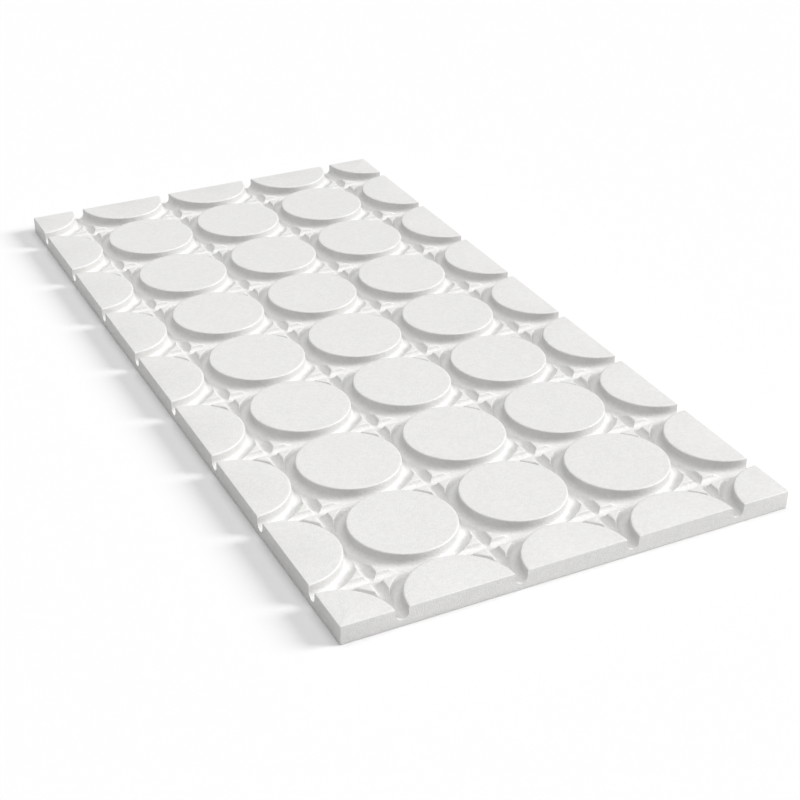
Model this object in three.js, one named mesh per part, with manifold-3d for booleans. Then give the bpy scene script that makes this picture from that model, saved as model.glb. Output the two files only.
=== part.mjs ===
// A floor-heating system panel: one moulded board of expanded polystyrene.
// Round knobs stand on a square grid, cut into halves and quarters by the board's outline.
// Pipe channels run straight between the knobs both ways, and in a ring round every knob.
// Where four knobs meet, the channels leave four small three-cornered islands.
// Millimetres, +Z up. The origin is the middle of the underside, below the middle knob.
import * as THREE from "three";
import { mergeVertices } from "three/addons/utils/BufferGeometryUtils.js";
import Module from "manifold-3d";

// Driving dimensions.
const PANEL_WIDTH = 600;
const PANEL_LENGTH = 1200;
const PANEL_THICKNESS = 25;
const KNOB_PITCH = 150;
const CHANNEL_WIDTH = 16;
const CHANNEL_DEPTH = 16;
const ISLAND_DROP = 9; // from the knob tops down to the island tops
const KNOB_EDGE_ROUND = 2;
const KNOB_SIDES = 32; // flats round a knob, a multiple of 8 so that a corner lies on each diagonal

// How far the pieces run into or past each other before they are joined or cut.
const OVERRUN = 1;

// Triangles that lie in one plane to within this are joined after the pieces are.
const FLAT_TOLERANCE = 0.001;

// Levels above the underside.
const floorLevel = PANEL_THICKNESS - CHANNEL_DEPTH;
const islandLevel = PANEL_THICKNESS - ISLAND_DROP;

// The channel's round bottom is half of an octagon: a flat floor, two flats at 45 degrees, then upright walls.
const halfWidth = CHANNEL_WIDTH / 2;
const halfFloor = halfWidth * Math.tan(Math.PI / 8);
const flankRise = halfWidth - halfFloor;
const flankTop = floorLevel + flankRise;

// Ring channels are centred half a pitch from their knob, so neighbouring rings touch on the straight channels.
const ringRadius = KNOB_PITCH / 2;
const knobRadius = ringRadius - halfWidth;
const ringOuterRadius = ringRadius + halfWidth;

const wasm = await Module();
wasm.setup();

function solidFrom(geometry) {
  const bare = geometry.index ? geometry.toNonIndexed() : geometry.clone();
  bare.deleteAttribute("normal");
  bare.deleteAttribute("uv");
  const merged = mergeVertices(bare);
  return new wasm.Manifold(
    new wasm.Mesh({
      numProp: 3,
      vertProperties: merged.attributes.position.array,
      triVerts: new Uint32Array(merged.index.array),
    }),
  );
}

function geometryFrom(solid) {
  const mesh = solid.getMesh();
  return new THREE.BufferGeometry()
    .setAttribute("position", new THREE.BufferAttribute(mesh.vertProperties, mesh.numProp))
    .setIndex(new THREE.BufferAttribute(mesh.triVerts, 1))
    .toNonIndexed();
}

// A block from one corner to the other.
function block([x0, y0, z0], [x1, y1, z1]) {
  const box = new THREE.BoxGeometry(x1 - x0, y1 - y0, z1 - z0);
  return solidFrom(box.translate((x0 + x1) / 2, (y0 + y1) / 2, (z0 + z1) / 2));
}

// A profile of [radius, level] points, from the axis at its foot to the axis at its top, turned about Z.
function turned(profile) {
  const points = profile.map(([radius, level]) => new THREE.Vector2(radius, level));
  return solidFrom(new THREE.LatheGeometry(points, KNOB_SIDES).rotateX(Math.PI / 2));
}

// A knob, with the flank of its ring channel as its foot, run a little way into the board below.
function knob() {
  return turned([
    [0, floorLevel - OVERRUN],
    [knobRadius + flankRise + OVERRUN, floorLevel - OVERRUN],
    [knobRadius, flankTop],
    [knobRadius, PANEL_THICKNESS - KNOB_EDGE_ROUND],
    [knobRadius - KNOB_EDGE_ROUND, PANEL_THICKNESS],
    [0, PANEL_THICKNESS],
  ]);
}

// All that lies inside a ring channel's outer wall, to be taken from the islands.
function ringCutter() {
  const foot = floorLevel - 2 * OVERRUN;
  return turned([
    [0, foot],
    [ringOuterRadius - (flankTop - foot), foot],
    [ringOuterRadius, flankTop],
    [ringOuterRadius, islandLevel + OVERRUN],
    [0, islandLevel + OVERRUN],
  ]);
}

// A straight channel along Y over the given length, to be taken from the islands.
function straightCutter(length) {
  const foot = floorLevel - 2 * OVERRUN;
  const halfFoot = halfWidth - (flankTop - foot);
  const top = islandLevel + OVERRUN;
  const section = new THREE.Shape([
    new THREE.Vector2(-halfFoot, foot),
    new THREE.Vector2(halfFoot, foot),
    new THREE.Vector2(halfWidth, flankTop),
    new THREE.Vector2(halfWidth, top),
    new THREE.Vector2(-halfWidth, top),
    new THREE.Vector2(-halfWidth, flankTop),
  ]);
  const run = new THREE.ExtrudeGeometry(section, { depth: length, bevelEnabled: false });
  return solidFrom(run.translate(0, 0, -length / 2).rotateX(Math.PI / 2));
}

// The four islands between four knobs, about the crossing of two straight channels.
function islands() {
  const reach = ringRadius - OVERRUN;
  let made = block([-reach, -reach, floorLevel - OVERRUN], [reach, reach, islandLevel]);
  for (const x of [-ringRadius, ringRadius]) {
    for (const y of [-ringRadius, ringRadius]) {
      made = made.subtract(ringCutter().translate([x, y, 0]));
    }
  }
  const alongY = straightCutter(KNOB_PITCH);
  return made.subtract(alongY).subtract(alongY.rotate([0, 0, 90]));
}

// Grid places from one edge of the panel to the other, on the pitch, with the given shift from the middle.
function gridPlaces(extent, shift) {
  const steps = Math.ceil(extent / 2 / KNOB_PITCH);
  const places = [];
  for (let step = -steps; step <= steps; step += 1) {
    const place = step * KNOB_PITCH + shift;
    if (Math.abs(place) <= extent / 2 + ringRadius - OVERRUN) places.push(place);
  }
  return places;
}

// Copies of a solid at every crossing of the two rows of places.
function repeated(solid, placesX, placesY) {
  return placesX.flatMap((x) => placesY.map((y) => solid.translate([x, y, 0])));
}

function panel() {
  const halfX = PANEL_WIDTH / 2;
  const halfY = PANEL_LENGTH / 2;
  const base = block(
    [-halfX - OVERRUN, -halfY - OVERRUN, -OVERRUN],
    [halfX + OVERRUN, halfY + OVERRUN, floorLevel],
  );
  const knobs = repeated(knob(), gridPlaces(PANEL_WIDTH, 0), gridPlaces(PANEL_LENGTH, 0));
  const crossings = repeated(
    islands(),
    gridPlaces(PANEL_WIDTH, ringRadius),
    gridPlaces(PANEL_LENGTH, ringRadius),
  );
  const outline = block([-halfX, -halfY, 0], [halfX, halfY, PANEL_THICKNESS + OVERRUN]);
  const made = wasm.Manifold.union([base, ...knobs, ...crossings]).intersect(outline);
  return made.asOriginal().simplify(FLAT_TOLERANCE);
}

const foam = new THREE.MeshStandardMaterial({ color: 0xebeae8, roughness: 0.85, metalness: 0 });
const board = new THREE.Mesh(geometryFrom(panel()), foam);
board.name = "eps_panel";

const group = new THREE.Group();
group.add(board);
export default group;
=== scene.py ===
"""A white polystyrene floor-heating panel on a pale floor, in metres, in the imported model's frame."""
import math

import bmesh
import bpy
from mathutils import Matrix, Vector


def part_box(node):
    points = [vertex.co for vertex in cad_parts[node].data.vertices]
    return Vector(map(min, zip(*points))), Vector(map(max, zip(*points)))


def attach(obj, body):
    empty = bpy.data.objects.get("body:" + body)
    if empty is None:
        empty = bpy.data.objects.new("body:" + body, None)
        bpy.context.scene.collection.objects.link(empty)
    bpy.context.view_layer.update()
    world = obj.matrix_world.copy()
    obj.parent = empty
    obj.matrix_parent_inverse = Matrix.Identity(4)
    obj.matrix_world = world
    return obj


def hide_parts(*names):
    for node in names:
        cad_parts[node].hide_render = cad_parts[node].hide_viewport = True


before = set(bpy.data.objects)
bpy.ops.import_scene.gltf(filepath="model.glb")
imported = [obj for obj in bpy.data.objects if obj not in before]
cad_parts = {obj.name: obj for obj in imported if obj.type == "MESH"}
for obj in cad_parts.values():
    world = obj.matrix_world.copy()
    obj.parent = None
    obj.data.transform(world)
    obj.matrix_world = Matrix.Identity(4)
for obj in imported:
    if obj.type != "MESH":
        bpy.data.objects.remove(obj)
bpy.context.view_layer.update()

PANEL_LOW, PANEL_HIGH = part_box("eps_panel")
PANEL_TOP = PANEL_HIGH.z

# Sizes of the relief, as in the solid, where a chamfer stands for the knobs' rounded edges.
KNOB_PITCH = 0.150
CHANNEL_WIDTH = 0.016
CHANNEL_DEPTH = 0.016
ISLAND_DROP = 0.009
KNOB_EDGE_ROUND = 0.0020

# Rounding of the edges that the solid leaves sharp.
ISLAND_EDGE_ROUND = 0.0016
OUTLINE_EDGE_ROUND = 0.0012

# How finely the curves are divided.
SPOKES = 12  # over an eighth of a turn
LIP_STEPS = 4
BOTTOM_STEPS = 7
FILLET_STEPS = 2
OUTLINE_STEPS = 4
ROUND_PROFILE = 0.5  # the shape of a bevel that is part of a circle

# The relief is cut to the board's outline. It runs past the underside, and the outline clears the knob tops
# by a hair, so that no face of one lies in a face of the other.
UNDERSIDE_OVERRUN = 0.016
TOP_HAIR = 0.00005

# Corners of one face, and then of neighbouring faces, are the same point when they are nearer than this.
SAME_CORNER = 1e-7
SAME_VERTEX = 1e-6
SHARP_ANGLE = 40  # degrees; an edge between faces that turn by less is shaded smooth

# The photograph's view.
IMAGE_WIDTH = 800
FOCAL_LENGTH_PIXELS = 1611.56
SENSOR_WIDTH = 36  # in millimetres, as the focal length is given to the camera
CAMERA_PLACE = Vector((-0.86008, -1.84750, 1.10027))
CAMERA_FORWARD = Vector((0.389884, 0.771652, -0.502537))
CAMERA_RIGHT = Vector((0.894005, -0.448022, 0.005654))

# The photograph's light: a dim white studio all round and three soft lamps, the strongest low at the right.
# Azimuths, from +X towards +Y, elevations and angular sizes are in degrees, and energies in W/m2.
STUDIO_STRENGTH = 0.315
LAMPS = {
    "key": {"azimuth": -20, "elevation": 28, "size": 24, "energy": 3.05},
    "front": {"azimuth": -85, "elevation": 42, "size": 30, "energy": 0.15},
    "overhead": {"azimuth": 0, "elevation": 90, "size": 60, "energy": 1.85},
}

# The floor, which reaches far enough to have no edge in any view.
FLOOR_TONE = 0.715
FLOOR_ROUGHNESS = 0.9
FLOOR_REACH = 40
FLOOR_DIVISIONS = 8

# The foam's look.
FOAM_DARK = (0.600, 0.595, 0.585, 1)
FOAM_LIGHT = (0.670, 0.665, 0.655, 1)
FOAM_ROUGHNESS = 0.38
FOAM_SPECULAR = 0.5
BEAD_SIZE = 0.0033
BEAD_SHARE = 0.6  # of the tone that is the bead's own; the rest follows a soft cloud
CLOUD_SCALE = 60.0
CLOUD_DETAIL = 4.0
SEAM_REACH = 0.15  # from a seam to the bead's flat, in beads
SEAM_DEPTH = 0.0005
SEAM_STRENGTH = 0.3

half_width = CHANNEL_WIDTH / 2
ring_radius = KNOB_PITCH / 2
knob_radius = ring_radius - half_width
wall_foot = PANEL_TOP - CHANNEL_DEPTH + half_width
island_top = PANEL_TOP - ISLAND_DROP

# An island's rounded edge runs into the channel's round bottom and into the flat top at a tangent.
fillet_centre_level = island_top - ISLAND_EDGE_ROUND
fillet_reach = half_width + ISLAND_EDGE_ROUND
fillet_centre = math.sqrt(fillet_reach**2 - (wall_foot - fillet_centre_level) ** 2)
touch_angle = math.asin(fillet_centre / fillet_reach)


def arc(centre, radius, start, end, steps):
    """Points on an arc, its ends included; angles in radians from straight down, towards plus."""
    points = []
    for i in range(steps + 1):
        angle = start + (end - start) * i / steps
        points.append((centre[0] + radius * math.sin(angle), centre[1] - radius * math.cos(angle)))
    return points


def knob_profile():
    """(radius, level) from the knob's axis, over its rounded edge, to the middle of its ring channel."""
    flat_end = knob_radius - KNOB_EDGE_ROUND
    lip = arc((flat_end, PANEL_TOP - KNOB_EDGE_ROUND), KNOB_EDGE_ROUND, math.pi, math.pi / 2, LIP_STEPS)
    bottom = arc((ring_radius, wall_foot), half_width, -math.pi / 2, 0, BOTTOM_STEPS)
    return [(0, PANEL_TOP), (flat_end - KNOB_EDGE_ROUND, PANEL_TOP)] + lip + bottom


def channel_level(distance):
    """The surface's level at a distance from the nearest channel's middle, outside the rings' middles."""
    if distance <= half_width * math.sin(touch_angle):
        return wall_foot - math.sqrt(half_width**2 - distance**2)
    if distance < fillet_centre:
        return fillet_centre_level + math.sqrt(ISLAND_EDGE_ROUND**2 - (fillet_centre - distance) ** 2)
    return island_top


def channel_steps():
    """Distances from a channel's middle that divide its bottom, an island's edge and the island's top."""
    bottom = [half_width * math.sin(touch_angle * i / BOTTOM_STEPS) for i in range(BOTTOM_STEPS + 1)]
    edge_width = fillet_centre - bottom[-1]
    edge = [bottom[-1] + edge_width * i / FILLET_STEPS for i in range(1, FILLET_STEPS + 1)]
    return bottom + edge + [fillet_centre + ISLAND_EDGE_ROUND]


def spoke_angles():
    """Angles over an eighth of a turn, from the direction of the next knob to the diagonal."""
    return [math.pi / 4 * i / SPOKES for i in range(SPOKES + 1)]


def strip_faces(row, next_row):
    """Faces between two rows of points, with those that have shrunk to a line left out."""
    faces = []
    for a, b, c, d in zip(row, row[1:], next_row[1:], next_row):
        corners = []
        for point in (a, b, c, d):
            if not any((point - kept).length < SAME_CORNER for kept in corners):
                corners.append(point)
        if len(corners) > 2:
            faces.append(corners)
    return faces


def knob_rows():
    """Rows from the knob's axis to the middle of its ring channel."""
    profile = knob_profile()
    return [
        [Vector((radius * math.cos(angle), radius * math.sin(angle), level)) for radius, level in profile]
        for angle in spoke_angles()
    ]


def ridge_distance(angle):
    """How far the ridge between a ring channel and the straight one beside it is from both their middles."""
    return KNOB_PITCH / (1 + math.cos(angle)) - ring_radius


def distances_to(end):
    """The channel's steps as far as the given end, where all later ones fall together."""
    return [min(step, end) for step in channel_steps() + [end]]


def ring_rows():
    """Rows from the middle of the ring channel out to the ridge."""
    rows = []
    for angle in spoke_angles():
        row = []
        for distance in distances_to(ridge_distance(angle)):
            radius = ring_radius + distance
            place = (radius * math.cos(angle), radius * math.sin(angle))
            row.append(Vector((*place, channel_level(distance))))
        rows.append(row)
    return rows


def straight_rows():
    """Rows from the middle of the straight channel back to the ridge, then to the crossing of two channels."""
    ends = []
    for angle in spoke_angles():
        end = ridge_distance(angle)
        ends.append(((ring_radius + end) * math.sin(angle), end))
    last = ends[-1][1]
    for step in reversed(channel_steps()):
        if step < last:
            ends.append((ring_radius - step, step))
    rows = []
    for along, end in ends:
        row = []
        for distance in distances_to(end):
            row.append(Vector((ring_radius - distance, along, channel_level(distance))))
        rows.append(row)
    return rows


def cell_faces():
    """The relief of one knob's square, made of eight mirrored copies of an eighth."""
    eighth = []
    for rows in (knob_rows(), ring_rows(), straight_rows()):
        for row, next_row in zip(rows, rows[1:]):
            eighth += strip_faces(row, next_row)
    faces = []
    for sign_x in (1, -1):
        for sign_y in (1, -1):
            for swap in (False, True):
                for face in eighth:
                    points = [(p.y, p.x, p.z) if swap else (p.x, p.y, p.z) for p in face]
                    faces.append([(sign_x * x, sign_y * y, z) for x, y, z in points])
    return faces


def knob_places(low, high):
    """Places of the knobs along one side of the board, those cut by its edges included."""
    count = round((high - low) / KNOB_PITCH)
    return [low + KNOB_PITCH * i for i in range(count + 1)]


def mesh_object(name, bm):
    """An object made of the given faces, which all look outwards."""
    bmesh.ops.recalc_face_normals(bm, faces=bm.faces)
    mesh = bpy.data.meshes.new(name)
    bm.to_mesh(mesh)
    bm.free()
    made = bpy.data.objects.new(name, mesh)
    bpy.context.collection.objects.link(made)
    return made


def relief_block():
    """The relief of all the knobs' squares, whole ones at the edges too, closed below by a flat bottom."""
    cell = cell_faces()
    bm = bmesh.new()
    for place_x in knob_places(PANEL_LOW.x, PANEL_HIGH.x):
        for place_y in knob_places(PANEL_LOW.y, PANEL_HIGH.y):
            for face in cell:
                bm.faces.new([bm.verts.new((x + place_x, y + place_y, z)) for x, y, z in face])
    bmesh.ops.remove_doubles(bm, verts=bm.verts, dist=SAME_VERTEX)
    rim = [edge for edge in bm.edges if edge.is_boundary]
    skirt = bmesh.ops.extrude_edge_only(bm, edges=rim)["geom"]
    low_rim = [item for item in skirt if isinstance(item, bmesh.types.BMVert)]
    for vert in low_rim:
        vert.co.z = PANEL_LOW.z - UNDERSIDE_OVERRUN
    bottom_rim = [edge for edge in bm.edges if edge.is_boundary]
    bmesh.ops.edgeloop_fill(bm, edges=bottom_rim)
    return mesh_object("relief_block", bm)


def outline_block():
    """The board's outline with its outer edges rounded; its top is a hair above the knobs."""
    size = PANEL_HIGH - PANEL_LOW
    bm = bmesh.new()
    bmesh.ops.create_cube(bm, size=1)
    for vert in bm.verts:
        vert.co.x *= size.x
        vert.co.y *= size.y
        vert.co.z = PANEL_LOW.z if vert.co.z < 0 else PANEL_TOP + TOP_HAIR
    bmesh.ops.bevel(
        bm,
        geom=bm.edges[:],
        offset=OUTLINE_EDGE_ROUND,
        segments=OUTLINE_STEPS,
        profile=ROUND_PROFILE,
        affect="EDGES",
    )
    return mesh_object("outline_block", bm)


def panel():
    """The panel: the relief cut to the board's outline."""
    made = relief_block()
    outline = outline_block()
    cut = made.modifiers.new("outline", "BOOLEAN")
    cut.operation = "INTERSECT"
    cut.solver = "MANIFOLD"
    cut.object = outline
    evaluated = made.evaluated_get(bpy.context.evaluated_depsgraph_get())
    mesh = bpy.data.meshes.new_from_object(evaluated)
    made.modifiers.clear()
    made.data = mesh
    made.name = "foam_panel"
    mesh.name = "foam_panel"
    bpy.data.objects.remove(outline)
    mesh.shade_smooth()
    mesh.set_sharp_from_angle(angle=math.radians(SHARP_ANGLE))
    return made


def node(tree, kind, **values):
    """A new node, with values for some of its inputs."""
    made = tree.nodes.new(kind)
    for name, value in values.items():
        made.inputs[name].default_value = value
    return made


def foam_tone(tree, place):
    """A node that makes each bead a little lighter or darker than the next, under a soft cloud."""
    beads = node(tree, "ShaderNodeTexVoronoi", Scale=1 / BEAD_SIZE)
    cloud = node(tree, "ShaderNodeTexNoise", Scale=CLOUD_SCALE, Detail=CLOUD_DETAIL)
    for texture in (beads, cloud):
        tree.links.new(place.outputs["Object"], texture.inputs["Vector"])
    bead_tone = node(tree, "ShaderNodeSeparateColor")
    tree.links.new(beads.outputs["Color"], bead_tone.inputs["Color"])
    share = node(tree, "ShaderNodeMix", Factor=BEAD_SHARE)
    tree.links.new(cloud.outputs["Fac"], share.inputs["A"])
    tree.links.new(bead_tone.outputs["Red"], share.inputs["B"])
    tone = node(tree, "ShaderNodeMix")
    tone.data_type = "RGBA"
    tone.inputs["A"].default_value = FOAM_DARK
    tone.inputs["B"].default_value = FOAM_LIGHT
    tree.links.new(share.outputs["Result"], tone.inputs["Factor"])
    return tone


def bead_seams(tree, place):
    """A node that sinks a fine seam round every bead."""
    gaps = node(tree, "ShaderNodeTexVoronoi", Scale=1 / BEAD_SIZE)
    gaps.feature = "DISTANCE_TO_EDGE"
    tree.links.new(place.outputs["Object"], gaps.inputs["Vector"])
    seams = node(tree, "ShaderNodeMapRange")
    seams.inputs["From Max"].default_value = SEAM_REACH
    tree.links.new(gaps.outputs["Distance"], seams.inputs["Value"])
    bump = node(tree, "ShaderNodeBump", Strength=SEAM_STRENGTH, Distance=SEAM_DEPTH)
    tree.links.new(seams.outputs["Result"], bump.inputs["Height"])
    return bump


def foam_material():
    """Moulded bead foam: white beads pressed flat against each other."""
    material = bpy.data.materials.new("bead_foam")
    material.use_nodes = True
    tree = material.node_tree
    shader = tree.nodes["Principled BSDF"]
    shader.inputs["Roughness"].default_value = FOAM_ROUGHNESS
    shader.inputs["Specular IOR Level"].default_value = FOAM_SPECULAR
    place = tree.nodes.new("ShaderNodeTexCoord")
    tree.links.new(foam_tone(tree, place).outputs["Result"], shader.inputs["Base Color"])
    tree.links.new(bead_seams(tree, place).outputs["Normal"], shader.inputs["Normal"])
    return material


def floor():
    """The pale studio floor."""
    material = bpy.data.materials.new("pale_floor")
    material.use_nodes = True
    shader = material.node_tree.nodes["Principled BSDF"]
    shader.inputs["Base Color"].default_value = (FLOOR_TONE, FLOOR_TONE, FLOOR_TONE, 1)
    shader.inputs["Roughness"].default_value = FLOOR_ROUGHNESS
    shader.inputs["Specular IOR Level"].default_value = 0.0
    bm = bmesh.new()
    bmesh.ops.create_grid(bm, x_segments=FLOOR_DIVISIONS, y_segments=FLOOR_DIVISIONS, size=FLOOR_REACH)
    made = mesh_object("studio_floor", bm)
    made.data.materials.append(material)


def lamp(name, azimuth, elevation, size, energy):
    """A soft lamp, far off in the given direction."""
    sun = bpy.data.lights.new(name, "SUN")
    sun.energy = energy
    sun.angle = math.radians(size)
    turn = math.radians(azimuth)
    rise = math.radians(elevation)
    level_share = math.cos(rise)
    towards_light = Vector((math.cos(turn) * level_share, math.sin(turn) * level_share, math.sin(rise)))
    made = bpy.data.objects.new(name, sun)
    made.rotation_mode = "QUATERNION"
    made.rotation_quaternion = towards_light.to_track_quat("Z", "Y")
    bpy.context.collection.objects.link(made)


def lights():
    """The lamps and the studio round them."""
    for name, values in LAMPS.items():
        lamp(name, **values)
    world = bpy.data.worlds.new("studio")
    world.use_nodes = True
    background = world.node_tree.nodes["Background"]
    background.inputs["Color"].default_value = (1, 1, 1, 1)
    background.inputs["Strength"].default_value = STUDIO_STRENGTH
    bpy.context.scene.world = world


def camera():
    """The photograph's camera."""
    data = bpy.data.cameras.new("camera")
    data.sensor_width = SENSOR_WIDTH
    data.lens = FOCAL_LENGTH_PIXELS / IMAGE_WIDTH * SENSOR_WIDTH
    made = bpy.data.objects.new("camera", data)
    back = -CAMERA_FORWARD.normalized()
    right = CAMERA_RIGHT.normalized()
    up = back.cross(right)
    turn = Matrix((right, up, back)).transposed()
    made.rotation_mode = "QUATERNION"
    made.rotation_quaternion = turn.to_quaternion()
    made.location = CAMERA_PLACE
    bpy.context.collection.objects.link(made)
    bpy.context.scene.camera = made


camera()
lights()
floor()
foam_panel = panel()
foam_panel.data.materials.clear()
foam_panel.data.materials.append(foam_material())
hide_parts("eps_panel")
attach(foam_panel, "root")
bpy.context.scene.view_settings.view_transform = "Standard"
